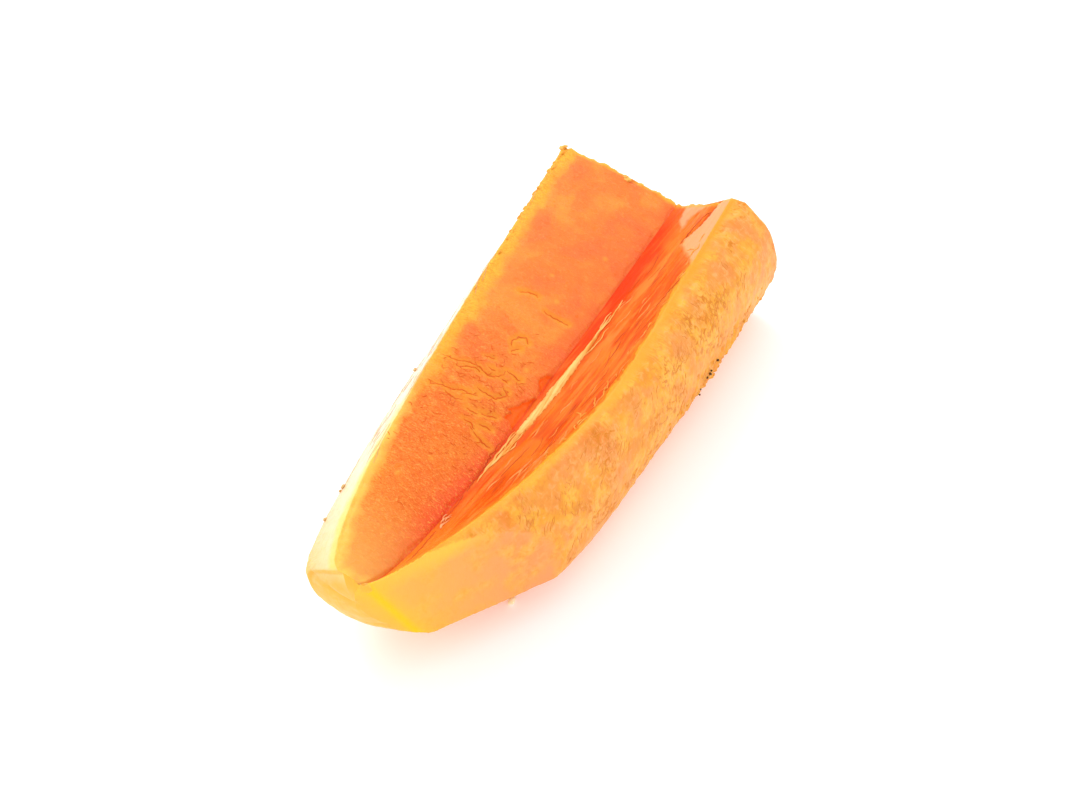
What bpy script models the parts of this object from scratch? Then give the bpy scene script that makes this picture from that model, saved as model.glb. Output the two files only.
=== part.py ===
"""A long wedge of ripe papaya, peeled and laid on its rounded side.

The near end is the natural taper of the fruit trimmed with a knife, the far end is a flat
cut. Looked at from the nose, the wide cut face is on the left, the seed cavity wall on the
right, and the groove where they meet runs the whole length. +X points to the far cut and
Z = 0 is the surface the wedge lies on. Sizes are in millimetres until the mesh is made.
"""
from math import cos, exp, pi, radians, sin
from typing import NamedTuple

import bmesh
import bpy
import numpy as np

MM = 0.001

LENGTH = 200.0            # nose tip to the flat far cut
FACE_CROWN = 1.4          # the wide cut face swells this much between groove and rim
FOOT_STEP = 0.9           # it stands this far above the cavity wall where they meet
FOOT_WIDTH = 1.0
FOOT_FADE = 12.0          # and is level again this far from the groove
CAVITY_SAG = 1.3          # the cavity wall is this hollow between ridge and groove
FULL_ARCH = 20.0          # a span narrower than this swells or sags less
NOSE_BULGE = 3.4          # how far the blunt nose end stands out past its rim
FAR_BULGE = 0.3           # the far cut is a little domed

STATIONS = 60             # sections along the length, closer together near the nose
NOSE_CROWDING = 1.35
CAVITY_CROWDING = 1.4     # strips of the cavity wall and of the cut face crowd at the groove
FACE_CROWDING = 1.5
CAP_RINGS = 4             # rings that close the nose and the far cut

STRAND_START = 50.0       # pale seed strand left beside the groove, from the nose tip
STRAND_END = 137.0
STRAND_WIDTH = 3.2
STRAND_HEIGHT = 1.3
STRAND_NEAR = 2.2         # its distance from the groove at the start and at the end
STRAND_FAR = 5.8

FLAP_MIDDLE = 185.0       # leaf of pale flesh against the ridge, close to the far cut
FLAP_HALF_LENGTH = 20.0
FLAP_WIDTH = 8.5
FLAP_HEIGHT = 0.8
FLAP_LIP = 0.9            # width of the slope at its edge

FOLD_HEIGHT = 0.3         # lengthwise folds of the cavity wall
FOLD_PITCH = 6.4
FOLD_BAND = (11.0, 10.0)  # middle of the folds from the groove, and half their band
RIPPLE_HEIGHT = 0.14      # marks of the knife across the wide cut face
RIPPLE_PITCH = 11.0
RELIEF_FADE = 0.3         # under 1 the relief holds until close to the edges of its span

CHIPS = (                 # scallops broken out of the foot of the cut face:
    (100.0, 5.2, 3.0),        # distance from the nose tip, half length, depth into the face
    (89.0, 6.4, 3.6),
)

WELD = 0.08               # corners closer than this after the knife strokes become one
CREASE = 20.0             # degrees, edges sharper than this are not shaded round


class Growth(NamedTuple):
    """How a size grows between the tip and the far cut."""

    run: float            # distance from the tip at which it is fully grown
    start: float          # under 1 the first part of the growth is quick
    settle: float         # over 1 the last part is slow


class Edge(NamedTuple):
    """A line that runs the length of the wedge."""

    far: tuple            # (y, z) on the far cut
    tip: tuple            # (x, y, z) on the rim of the blunt nose end
    plan: Growth          # growth of y
    height: Growth        # growth of z


class Span(NamedTuple):
    """The surface between one edge and the next, round the section."""

    edge: str
    strips: int
    kind: str             # "flank", "ridge", "cavity" or "face"


class Stroke(NamedTuple):
    """A flat made by one stroke of the knife."""

    point: tuple          # a point on the flat
    heading: float        # degrees, the way the flat faces in plan, 0 is the far end
    lift: float           # degrees the flat looks upwards


EDGES = {
    "rim": Edge((37.6, 48.8), (4.6, 14.4, 46.4), Growth(200, 0.41, 1), Growth(40, 1, 1)),
    "left_shoulder": Edge((39.8, 38.0), (8.2, 27.0, 35.6), Growth(200, 0.46, 1.7), Growth(60, 1, 1)),
    "left_wide": Edge((40.6, 25.0), (7.8, 27.4, 31.6), Growth(200, 0.5, 2), Growth(120, 1, 1)),
    "left_low": Edge((37.0, 10.0), (7.4, 25.0, 28.0), Growth(200, 0.5, 1.5), Growth(110, 0.8, 1.6)),
    "left_keel": Edge((27.0, 2.0), (6.4, 18.6, 26.6), Growth(200, 0.6, 1.2), Growth(100, 0.7, 1.8)),
    "keel_left": Edge((12.0, 0.0), (6.8, 11.0, 25.4), Growth(200, 1, 1), Growth(95, 0.65, 2)),
    "keel_right": Edge((-16.0, 0.0), (8.4, 3.4, 25.2), Growth(200, 0.5, 1.5), Growth(90, 0.65, 2)),
    "right_keel": Edge((-32.0, 3.0), (10.8, -2.4, 24.2), Growth(200, 0.5, 1.8), Growth(90, 0.65, 2)),
    "right_low": Edge((-42.0, 12.0), (13.2, -6.0, 22.6), Growth(200, 0.29, 1), Growth(80, 0.8, 1.5)),
    "right_wide": Edge((-44.3, 24.0), (11.2, -2.8, 26.4), Growth(200, 0.4, 1.2), Growth(120, 1, 1.5)),
    "right_up": Edge((-40.8, 36.2), (8.2, 2.4, 35.0), Growth(200, 0.6, 1.8), Growth(150, 1, 1)),
    "right_shoulder": Edge((-34.2, 43.2), (6.0, 6.4, 41.6), Growth(130, 0.72, 1.6), Growth(100, 1, 1)),
    "ridge_outer": Edge((-30.2, 46.4), (5.4, 8.0, 44.6), Growth(120, 0.8, 1.6), Growth(40, 1, 1)),
    "ridge_inner": Edge((-25.4, 46.9), (4.4, 8.8, 45.2), Growth(110, 0.8, 1.6), Growth(40, 1, 1)),
    "groove": Edge((-5.8, 37.0), (4.0, 9.6, 45.4), Growth(200, 0.45, 1), Growth(90, 0.6, 2.2)),
}

SPANS = (
    Span("rim", 3, "flank"),
    Span("left_shoulder", 3, "flank"),
    Span("left_wide", 4, "flank"),
    Span("left_low", 3, "flank"),
    Span("left_keel", 3, "flank"),
    Span("keel_left", 4, "flank"),
    Span("keel_right", 3, "flank"),
    Span("right_keel", 4, "flank"),
    Span("right_low", 4, "flank"),
    Span("right_wide", 4, "flank"),
    Span("right_up", 3, "flank"),
    Span("right_shoulder", 2, "flank"),
    Span("ridge_outer", 2, "ridge"),
    Span("ridge_inner", 15, "cavity"),
    Span("groove", 14, "face"),
)

STROKES = (
    Stroke((51.0, -29.6, 14.0), 235.7, 9.1),      # right side of the nose
    Stroke((51.0, -29.6, 14.6), 232.0, -54.0),    # under it, rising to the nose
    Stroke((12.1, -1.8, 22.0), 221.0, 2.0),       # narrow strip up the middle of the nose
    Stroke((150.0, 0.0, 0.2), 0.0, -90.0),        # the flat that the wedge rests on
)


def grow(distance, growth):
    """Share of the full size reached at this distance from the tip."""
    share = min(max(distance / growth.run, 0.0), 1.0)
    return 1.0 - (1.0 - share ** growth.start) ** growth.settle


def along(edge, t):
    """Point of an edge, t = 0 on the nose end and 1 on the far cut."""
    x = edge.tip[0] + (LENGTH - edge.tip[0]) * t
    gone = x - edge.tip[0]
    plan = edge.plan._replace(run=edge.plan.run - edge.tip[0])
    height = edge.height._replace(run=edge.height.run - edge.tip[0])
    y = edge.tip[1] + (edge.far[0] - edge.tip[1]) * grow(gone, plan)
    z = edge.tip[2] + (edge.far[1] - edge.tip[2]) * grow(gone, height)
    return np.array((x, y, z))


def rounded(before, start, end, after, s):
    """Point at share s from start to end of a smooth curve that goes on to both neighbours."""
    return 0.5 * (
        2.0 * start
        + (end - before) * s
        + (2.0 * before - 5.0 * start + 4.0 * end - after) * s * s
        + (3.0 * (start - end) + after - before) * s ** 3
    )


def bump(value, centre, half_width):
    """Smooth swelling, 1 at the centre and 0 past the half width."""
    away = min(abs(value - centre) / half_width, 1.0)
    return (1.0 - away * away) ** 2


def ramp(value, width):
    """Smooth step from 0 to 1 over the width."""
    s = min(max(value / width, 0.0), 1.0)
    return s * s * (3.0 - 2.0 * s)


def strand_relief(x, from_groove):
    """The seed strand, a thin ridge that tapers at both ends and leaves the groove slowly."""
    s = min(max((x - STRAND_START) / (STRAND_END - STRAND_START), 0.0), 1.0)
    taper = (4.0 * s * (1.0 - s)) ** 0.6
    middle = STRAND_NEAR + (STRAND_FAR - STRAND_NEAR) * s
    return STRAND_HEIGHT * taper * bump(from_groove, middle, 0.5 * STRAND_WIDTH)


def flap_relief(x, from_ridge):
    """The pale flap, a leaf-shaped step beside the ridge."""
    leaf = max(0.0, 1.0 - ((x - FLAP_MIDDLE) / FLAP_HALF_LENGTH) ** 2)
    return FLAP_HEIGHT * leaf ** 0.5 * ramp(FLAP_WIDTH * leaf ** 0.8 - from_ridge, FLAP_LIP)


def fold_relief(x, from_groove):
    """Lengthwise folds of the cavity wall, which wander a little."""
    wander = 1.1 * sin(x / 23.0) + 0.5 * sin(x / 9.0)
    wave = sin(2.0 * pi * (from_groove + wander) / FOLD_PITCH)
    return FOLD_HEIGHT * wave * bump(from_groove, *FOLD_BAND)


def face_relief(x, from_groove):
    """Step and chips at the foot of the wide cut face, and ripples across it."""
    foot = FOOT_WIDTH
    for middle, half_length, depth in CHIPS:
        foot += depth * bump(x, middle, half_length)
    step = FOOT_STEP * ramp(from_groove - foot + FOOT_WIDTH, FOOT_WIDTH)
    bend = 0.12 * from_groove + 1.5 * sin(from_groove / 7.0)
    ripple = RIPPLE_HEIGHT * sin(2.0 * pi * (x + bend) / RIPPLE_PITCH)
    return step * exp(-from_groove / FOOT_FADE) + ripple * ramp(from_groove, 8.0)


def span_point(kind, corners, share):
    """Point at a share of the way across one span of the section."""
    before, start, end, after = corners
    point = start + (end - start) * share
    across = np.linalg.norm(end - start)
    arch = 4.0 * share * (1.0 - share) * min(across / FULL_ARCH, 1.0)
    from_start, from_end = across * share, across * (1.0 - share)
    if kind == "flank":
        point[1:] = rounded(before, start, end, after, share)[1:]
    if kind == "cavity":
        relief = strand_relief(point[0], from_end) + fold_relief(point[0], from_end)
        relief += flap_relief(point[0], from_start)
        point[2] += relief * arch ** RELIEF_FADE - CAVITY_SAG * arch
    if kind == "face":
        point[2] += face_relief(point[0], from_start) * arch ** RELIEF_FADE + FACE_CROWN * arch
    return point


def span_points(t, index):
    """Points of one span of the section at t, without the first point of the next."""
    span = SPANS[index]
    names = [SPANS[(index + step) % len(SPANS)].edge for step in (-1, 0, 1, 2)]
    before, start, end, after = (along(EDGES[name], t) for name in names)
    if index == 0:
        before = 2.0 * start - end
    if SPANS[(index + 1) % len(SPANS)].kind != "flank":
        after = 2.0 * end - start
    shares = [step / span.strips for step in range(span.strips)]
    if span.kind == "cavity":
        shares = [1.0 - (1.0 - share) ** CAVITY_CROWDING for share in shares]
    if span.kind == "face":
        shares = [share ** FACE_CROWDING for share in shares]
    return [span_point(span.kind, (before, start, end, after), share) for share in shares]


def section(t):
    """The closed outline of the wedge at t, from the rim down, round and back."""
    return np.array([point for index in range(len(SPANS)) for point in span_points(t, index)])


def cap_rings(outline, bulge):
    """Rings of the dome that closes an end, and its middle point."""
    middle = outline.mean(axis=0)
    rings = []
    for step in range(1, CAP_RINGS + 1):
        angle = 0.5 * pi * step / (CAP_RINGS + 1.0)
        ring = middle + (outline - middle) * cos(angle)
        ring[:, 0] += bulge * sin(angle)
        rings.append(ring)
    return rings, middle + np.array((bulge, 0.0, 0.0))


def bridge(bm, ring_a, ring_b):
    """Faces between two rings with the same number of corners."""
    count = len(ring_a)
    for i in range(count):
        j = (i + 1) % count
        bm.faces.new((ring_a[i], ring_b[i], ring_b[j], ring_a[j]))


def loft_wedge():
    """The wedge before the knife strokes, in millimetres."""
    bm = bmesh.new()
    sections = [section((i / STATIONS) ** NOSE_CROWDING) for i in range(STATIONS + 1)]
    nose_rings, nose_middle = cap_rings(sections[0], -NOSE_BULGE)
    far_rings, far_middle = cap_rings(sections[-1], FAR_BULGE)
    outlines = nose_rings[::-1] + sections + far_rings
    loops = [[bm.verts.new(point) for point in outline] for outline in outlines]
    for ring_a, ring_b in zip(loops, loops[1:]):
        bridge(bm, ring_a, ring_b)
    for middle, ring in ((nose_middle, loops[0]), (far_middle, loops[-1])):
        hub = bm.verts.new(middle)
        for i in range(len(ring)):
            bm.faces.new((hub, ring[i], ring[(i + 1) % len(ring)]))
    bmesh.ops.recalc_face_normals(bm, faces=bm.faces)
    return bm


def knife_stroke(bm, stroke):
    """Trim the wedge to the flat of one stroke."""
    heading, lift = radians(stroke.heading), radians(stroke.lift)
    facing = (cos(heading) * cos(lift), sin(heading) * cos(lift), sin(lift))
    everything = bm.verts[:] + bm.edges[:] + bm.faces[:]
    cut = bmesh.ops.bisect_plane(
        bm, geom=everything, plane_co=stroke.point, plane_no=facing, clear_outer=True, dist=0.01
    )
    rim = [item for item in cut["geom_cut"] if isinstance(item, bmesh.types.BMEdge)]
    bmesh.ops.holes_fill(bm, edges=[edge for edge in rim if edge.is_boundary])


def finish(bm):
    """Weld slivers, cut every face into triangles and go over to metres."""
    bmesh.ops.remove_doubles(bm, verts=bm.verts, dist=WELD)
    bmesh.ops.dissolve_degenerate(bm, edges=bm.edges, dist=0.5 * WELD)
    bmesh.ops.triangulate(bm, faces=bm.faces)
    bmesh.ops.recalc_face_normals(bm, faces=bm.faces)
    for vert in bm.verts:
        vert.co *= MM


def rest_and_centre(bm):
    """Set the lowest point on Z = 0 and the middle of the wedge over the origin."""
    corners = np.array([vert.co for vert in bm.verts])
    low, high = corners.min(axis=0), corners.max(axis=0)
    shift = (-(low[0] + high[0]) / 2.0, -(low[1] + high[1]) / 2.0, -low[2])
    bmesh.ops.translate(bm, vec=shift, verts=bm.verts)


def papaya_flesh():
    """Ripe flesh: wet, orange and a little translucent."""
    material = bpy.data.materials.new("papaya_flesh")
    material.use_nodes = True
    shader = material.node_tree.nodes["Principled BSDF"]
    shader.inputs["Base Color"].default_value = (0.93, 0.26, 0.05, 1.0)
    shader.inputs["Roughness"].default_value = 0.32
    shader.inputs["IOR"].default_value = 1.38
    return material


def main():
    for item in list(bpy.data.objects):
        bpy.data.objects.remove(item)
    bm = loft_wedge()
    for stroke in STROKES:
        knife_stroke(bm, stroke)
    finish(bm)
    rest_and_centre(bm)
    mesh = bpy.data.meshes.new("papaya_wedge")
    bm.to_mesh(mesh)
    bm.free()
    mesh.materials.append(papaya_flesh())
    mesh.shade_smooth()
    mesh.set_sharp_from_angle(angle=radians(CREASE))
    wedge = bpy.data.objects.new("papaya_wedge", mesh)
    collection = bpy.data.collections.new("sliced_papaya")
    bpy.context.scene.collection.children.link(collection)
    collection.objects.link(wedge)


main()
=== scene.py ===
from functools import partial
from math import cos, pi, radians, sin

import bmesh
import bpy
import numpy as np
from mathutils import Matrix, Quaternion, Vector, kdtree, noise
from mathutils.bvhtree import BVHTree


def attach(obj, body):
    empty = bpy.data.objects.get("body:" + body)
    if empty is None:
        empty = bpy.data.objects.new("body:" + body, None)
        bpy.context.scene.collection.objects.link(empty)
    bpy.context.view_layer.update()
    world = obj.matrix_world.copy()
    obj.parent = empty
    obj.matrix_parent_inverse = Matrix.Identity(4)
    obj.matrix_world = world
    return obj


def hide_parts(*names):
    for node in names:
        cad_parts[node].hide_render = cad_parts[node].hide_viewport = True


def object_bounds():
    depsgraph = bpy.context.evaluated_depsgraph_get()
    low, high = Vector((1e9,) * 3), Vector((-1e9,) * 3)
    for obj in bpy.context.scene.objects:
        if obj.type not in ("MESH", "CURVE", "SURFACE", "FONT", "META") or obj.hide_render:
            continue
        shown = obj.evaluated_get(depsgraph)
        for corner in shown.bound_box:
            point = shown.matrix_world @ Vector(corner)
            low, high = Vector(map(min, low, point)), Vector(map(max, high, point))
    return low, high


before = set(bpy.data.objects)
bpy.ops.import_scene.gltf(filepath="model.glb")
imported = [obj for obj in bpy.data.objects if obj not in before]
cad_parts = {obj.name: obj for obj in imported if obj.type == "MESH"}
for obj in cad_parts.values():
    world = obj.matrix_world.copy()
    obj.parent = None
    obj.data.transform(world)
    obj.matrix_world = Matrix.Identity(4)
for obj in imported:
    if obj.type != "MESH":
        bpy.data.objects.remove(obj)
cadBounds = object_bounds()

# A peeled wedge of ripe papaya. Shapes are worked out in millimetres from the nose tip:
# x runs to the far cut, y to the rim of the wide cut face, z up from the floor.
mm = 0.001
pathStep = 0.4      # mm between the points of a crack, a thread or a strip


def srgb(hexColour):
    # a hex colour as the linear numbers that shaders take
    channels = [int(hexColour[i:i + 2], 16) / 255 for i in (1, 3, 5)]
    linear = [c / 12.92 if c <= 0.04045 else ((c + 0.055) / 1.055) ** 2.4 for c in channels]
    return (*linear, 1.0)


def putInScene(name, data):
    thing = bpy.data.objects.new(name, data)
    bpy.context.scene.collection.objects.link(thing)
    return thing


def smoothStep(value, low, high):
    # 0 up to low, 1 from high, smooth between them
    share = np.clip((np.asarray(value, float) - low) / (high - low), 0, 1)
    return share * share * (3 - 2 * share)


def swell(value, centre, halfWidth):
    # a smooth hump around the centre, 1 high
    away = np.clip(np.abs(np.asarray(value, float) - centre) / halfWidth, 0, 1)
    return (1 - away * away) ** 2


def grainAt(points, size, octaves, seed):
    # smooth random heights, about -1 to 1; size is the length of one grain in mm along x, y and z
    spots = points / np.array(size, float) + seed
    return np.array([noise.fractal(Vector(spot), 1.0, 2.0, octaves) for spot in spots])


wedge = {
    "length": 200.0,          # mm along the lines, before the nose is trimmed
    "stations": 360,
    "noseCrowding": 1.15,     # sections stand closer together near the nose
    "noseRings": 14,
    "farRings": 22,
    "ringCrowding": 0.8,      # below 1, the rings that close an end stand closer near its rim
    "noseBulge": 3.4,
    "farBulge": 0.3,
    "faceCrown": 1.4,         # swelling of the wide cut face
    "footStep": 0.9,          # the cut face stands this far above the cavity wall at the groove
    "footWidth": 1.0,
    "footWaver": 0.35,
    "footFade": 12.0,
    "cavitySag": 1.3,
    "fullArch": 20.0,         # where they are narrower than this, face and wall swell and sag less
    "faceCrowding": 1.3,      # above 1, their points stand closer together at the groove
    "cavityCrowding": 1.25,
    "relaxRounds": 60,        # of the net of points in each knife flat
    "unfoldRounds": 10,
}

# Lines that run the length of the wedge: (y, z) on the far cut, (x, y, z) on the blunt nose, and then
# for plan and for height the x at which it is fully grown, how it starts and how it settles
wedgeLines = {
    "rim": ((37.6, 48.8), (4.6, 14.4, 46.4), (200, 0.41, 1), (40, 1, 1)),
    "leftShoulder": ((39.8, 38.0), (8.2, 27.0, 35.6), (200, 0.46, 1.7), (60, 1, 1)),
    "leftWide": ((40.6, 25.0), (7.2, 27.2, 31.2), (200, 0.5, 2), (120, 1, 1)),
    "leftLow": ((37.0, 10.0), (6.4, 24.7, 27.5), (200, 0.5, 1.5), (110, 0.8, 1.6)),
    "leftKeel": ((27.0, 2.0), (5.2, 18.3, 26.0), (200, 0.6, 1.2), (100, 0.7, 1.8)),
    "keelLeft": ((12.0, 0.0), (5.6, 10.7, 25.4), (200, 1, 1), (95, 0.65, 2)),
    "keelRight": ((-16.0, 0.0), (7.8, 3.1, 25.9), (200, 0.5, 1.5), (90, 0.65, 2)),
    "rightKeel": ((-32.0, 3.0), (10.8, -2.4, 26.4), (200, 0.5, 1.8), (90, 0.65, 2)),
    "rightLow": ((-42.0, 12.0), (13.2, -6.0, 24.8), (200, 0.29, 1), (80, 0.8, 1.5)),
    "rightWide": ((-44.3, 24.0), (11.2, -2.8, 26.4), (200, 0.4, 1.2), (120, 1, 1.5)),
    "rightUp": ((-40.8, 36.2), (8.2, 2.4, 35.0), (200, 0.6, 1.8), (150, 1, 1)),
    "rightShoulder": ((-34.2, 43.2), (6.0, 6.4, 41.6), (130, 0.72, 1.6), (100, 1, 1)),
    "ridgeOuter": ((-30.2, 46.4), (5.4, 8.0, 44.6), (120, 0.8, 1.6), (40, 1, 1)),
    "ridgeInner": ((-25.4, 46.9), (4.4, 8.8, 45.2), (110, 0.8, 1.6), (40, 1, 1)),
    "groove": ((-5.8, 37.0), (4.0, 9.6, 45.4), (200, 0.45, 1), (90, 0.6, 2.2)),
}

# The surface from each line to the next: what it is, and how many strips it is made of
wedgeSpans = (
    ("rim", "flank", 14), ("leftShoulder", "flank", 12), ("leftWide", "flank", 12),
    ("leftLow", "flank", 8), ("leftKeel", "flank", 7), ("keelLeft", "flank", 11),
    ("keelRight", "flank", 9), ("rightKeel", "flank", 12), ("rightLow", "flank", 13),
    ("rightWide", "flank", 13), ("rightUp", "flank", 10), ("rightShoulder", "flank", 6),
    ("ridgeOuter", "ridge", 6), ("ridgeInner", "cavity", 42), ("groove", "face", 66),
)

# Flats left by the knife: a point on the flat, degrees it faces in plan, degrees it looks up
knifeFlats = (
    ((51.0, -29.6, 14.0), 235.7, 9.1),        # up the right side of the nose
    ((51.0, -29.6, 14.6), 232.0, -54.0),      # under the nose
    ((12.1, -1.8, 22.0), 221.0, 2.0),         # up the middle of the nose
    ((150.0, 0.0, 0.2), 0.0, -90.0),          # what it rests on
)


def growth(gone, reach, start, settle):
    # share of its full size that a line has after going so far from the nose
    share = np.clip(gone / reach, 0, 1)
    return 1 - (1 - share ** start) ** settle


def lineAt(name, t):
    far, tip, plan, height = wedgeLines[name]
    x = tip[0] + (wedge["length"] - tip[0]) * t
    y = tip[1] + (far[0] - tip[1]) * growth(x - tip[0], plan[0] - tip[0], *plan[1:])
    z = tip[2] + (far[1] - tip[2]) * growth(x - tip[0], height[0] - tip[0], *height[1:])
    return np.stack([x, y, z], axis=-1)[:, None, :]


def footOf(x):
    # mm from the groove to the foot of the cut face, which wavers along the wedge
    return wedge["footWidth"] + wedge["footWaver"] * (np.sin(x / 3.1) + 0.7 * np.sin(x / 1.7 + 1))


def spanGrid(index, t):
    # points of one surface, a row for each t and a column for each strip
    kind, strips = wedgeSpans[index][1:]
    names = [wedgeSpans[(index + step) % len(wedgeSpans)][0] for step in (-1, 0, 1, 2)]
    before, start, end, after = (lineAt(other, t) for other in names)
    if index == 0:
        before = 2 * start - end
    if wedgeSpans[(index + 1) % len(wedgeSpans)][1] != "flank":
        after = 2 * end - start
    s = np.arange(strips) / strips
    crowded = {"cavity": 1 - (1 - s) ** wedge["cavityCrowding"], "face": s ** wedge["faceCrowding"]}
    s = crowded.get(kind, s)[None, :, None]
    points = start + (end - start) * s
    if kind == "flank":      # a smooth curve through the lines instead of straight from one to the next
        curve = (2 * start + (end - before) * s + (2 * before - 5 * start + 4 * end - after) * s ** 2
                 + (3 * (start - end) + after - before) * s ** 3) / 2
        points[..., 1:] = curve[..., 1:]
    across = np.linalg.norm(end - start, axis=-1)
    arch = 4 * s[..., 0] * (1 - s[..., 0]) * np.minimum(across / wedge["fullArch"], 1)
    fromStart = across * s[..., 0]
    if kind == "cavity":
        points[..., 2] -= wedge["cavitySag"] * arch
    if kind == "face":
        foot = footOf(points[..., 0])
        step = wedge["footStep"] * smoothStep(fromStart - foot + wedge["footWidth"], 0, wedge["footWidth"])
        points[..., 2] += step * np.exp(-fromStart / wedge["footFade"]) * arch ** 0.3
        points[..., 2] += wedge["faceCrown"] * arch
    return points


def domeRings(outline, count, bulge):
    # rings that close an end, from its rim to near its middle
    middle = outline.mean(axis=0)
    rings = []
    for step in range(1, count):
        share = (1 - step / count) ** wedge["ringCrowding"]
        ring = middle + (outline - middle) * share
        ring[:, 0] += bulge * (1 - share * share)
        rings.append(ring)
    return np.array(rings)


def aboveFlat(points, flat):
    # how many mm the points stand beyond the knife's flat
    point, heading, lift = flat[0], radians(flat[1]), radians(flat[2])
    return (points - point) @ np.array((cos(heading) * cos(lift), sin(heading) * cos(lift), sin(lift)))


def trimRows(rows, flat):
    # what stands beyond the flat is laid back on it, evenly between the two edges of the cut
    trimmed = np.zeros(rows.shape[:2])
    count = rows.shape[1]
    for row, marks in zip(rows, trimmed):
        beyond = aboveFlat(row, flat)
        starts = [i for i in range(count) if beyond[i] > 0 >= beyond[i - 1]]
        for start in starts:
            run = [start]
            while beyond[(run[-1] + 1) % count] > 0:
                run.append((run[-1] + 1) % count)
            first, last = run[0] - 1, (run[-1] + 1) % count
            shareIn = beyond[first] / (beyond[first] - beyond[run[0]])
            shareOut = beyond[last] / (beyond[last] - beyond[run[-1]])
            cutIn = row[first] + (row[run[0]] - row[first]) * shareIn
            cutOut = row[last] + (row[run[-1]] - row[last]) * shareOut
            path = np.vstack([cutIn, row[run], cutOut])
            steps = np.linalg.norm(np.diff(path, axis=0), axis=1).cumsum()
            row[run] = cutIn + (cutOut - cutIn) * (steps[:-1] / steps[-1])[:, None]
            marks[run] = 1
    return trimmed


def evenOutFlats(rows, flatNumbers):
    # relaxes the net of points inside each flat, so that none of it folds over
    def around(values):
        sides = [np.roll(values, 1, axis=1)[1:-1], np.roll(values, -1, axis=1)[1:-1]]
        return sides + [values[:-2], values[2:]]
    numbers = flatNumbers[1:-1]
    inside = (numbers > 0) & np.all([side == numbers for side in around(flatNumbers)], axis=0)
    for step in range(wedge["relaxRounds"]):
        rows[1:-1][inside] = (sum(around(rows)) / 4)[inside]


def unfold(rows, onFlat):
    # points of a flat whose faces are still folded move to the middle of the four points around them
    for step in range(wedge["unfoldRounds"]):
        a, b = rows[:-1], rows[1:]
        c, d = np.roll(b, -1, axis=1), np.roll(a, -1, axis=1)
        facings = [facing / (np.linalg.norm(facing, axis=-1, keepdims=True) + 1e-12)
                   for facing in (np.cross(b - a, c - a), np.cross(c - a, d - a))]
        usual = sum(np.roll(sum(facings), turn, axis=1) for turn in (-2, -1, 0, 1, 2))
        usual[1:-1] += usual[:-2] + usual[2:]
        folded = np.any([(facing * usual).sum(axis=-1) < 0 for facing in facings], axis=0)
        folded |= np.roll(folded, 1, axis=1)
        corners = onFlat[1:-1] & (folded[1:] | folded[:-1])
        middles = (np.roll(rows, 1, axis=1) + np.roll(rows, -1, axis=1))[1:-1] + rows[:-2] + rows[2:]
        rows[1:-1][corners] = (middles / 4)[corners]


def nearest(cloud, points):
    # distance in mm from each point to the nearest of the cloud
    tree = kdtree.KDTree(len(cloud))
    for i, spot in enumerate(cloud):
        tree.insert(spot, i)
    tree.balance()
    return np.array([tree.find(point)[2] for point in points])


def tracePoints(corners):
    # (x, y) every pathStep along a line of corners
    corners = np.array(corners)
    reach = np.append(0, np.cumsum(np.linalg.norm(np.diff(corners, axis=0), axis=1)))
    at = np.linspace(0, reach[-1], int(reach[-1] / pathStep) + 2)
    return np.column_stack([np.interp(at, reach, corners[:, k]) for k in (0, 1)])


def intoPatch(points, corners):
    # mm from each point to the outline of a patch seen from above, above zero inside it
    spots = points[:, :2]
    inside = np.zeros(len(spots), bool)
    away = np.full(len(spots), np.inf)
    for (x1, y1), (x2, y2) in zip(corners, corners[1:] + corners[:1]):
        side = np.array((x2 - x1, y2 - y1))
        share = np.clip((spots - (x1, y1)) @ side / (side @ side), 0, 1)[:, None]
        away = np.minimum(away, np.linalg.norm(spots - (x1, y1) - share * side, axis=1))
        spans = (spots[:, 1] < y1) != (spots[:, 1] < y2)
        if y1 != y2:
            inside ^= spans & (spots[:, 0] < x1 + side[0] * (spots[:, 1] - y1) / side[1])
    return np.where(inside, away, -away)


print("Shaping the wedge")
farAway = 99.0      # mm, for points where a distance doesn't matter
t = (np.arange(wedge["stations"] + 1) / wedge["stations"]) ** wedge["noseCrowding"]
sections = np.concatenate([spanGrid(i, t) for i in range(len(wedgeSpans))], axis=1)
kinds = np.concatenate([[kind] * strips for name, kind, strips in wedgeSpans])
firstColumn = {kind: int(np.flatnonzero(kinds == kind)[0]) for kind in ("flank", "cavity", "face")}
skinCloud = sections[::2, kinds == "flank"].reshape(-1, 3)
edgeCloud = sections[:, [firstColumn["flank"], firstColumn["cavity"]]].reshape(-1, 3)
noseRings = domeRings(sections[0], wedge["noseRings"], -wedge["noseBulge"])
farRings = domeRings(sections[-1], wedge["farRings"], wedge["farBulge"])
rows = np.concatenate([noseRings[::-1], sections, farRings])
flatNumbers = np.zeros(rows.shape[:2], int)
for number, flat in enumerate(knifeFlats, start=1):
    flatNumbers[trimRows(rows, flat) > 0] = number
evenOutFlats(rows, flatNumbers)
unfold(rows, flatNumbers > 0)
noseMiddle, farMiddle = rows[0].mean(axis=0), rows[-1].mean(axis=0)

rowCount, ringCount = rows.shape[:2]
grid = np.arange(rowCount * ringCount).reshape(rowCount, ringCount)
places = np.concatenate([rows.reshape(-1, 3), [noseMiddle, farMiddle]])
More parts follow.
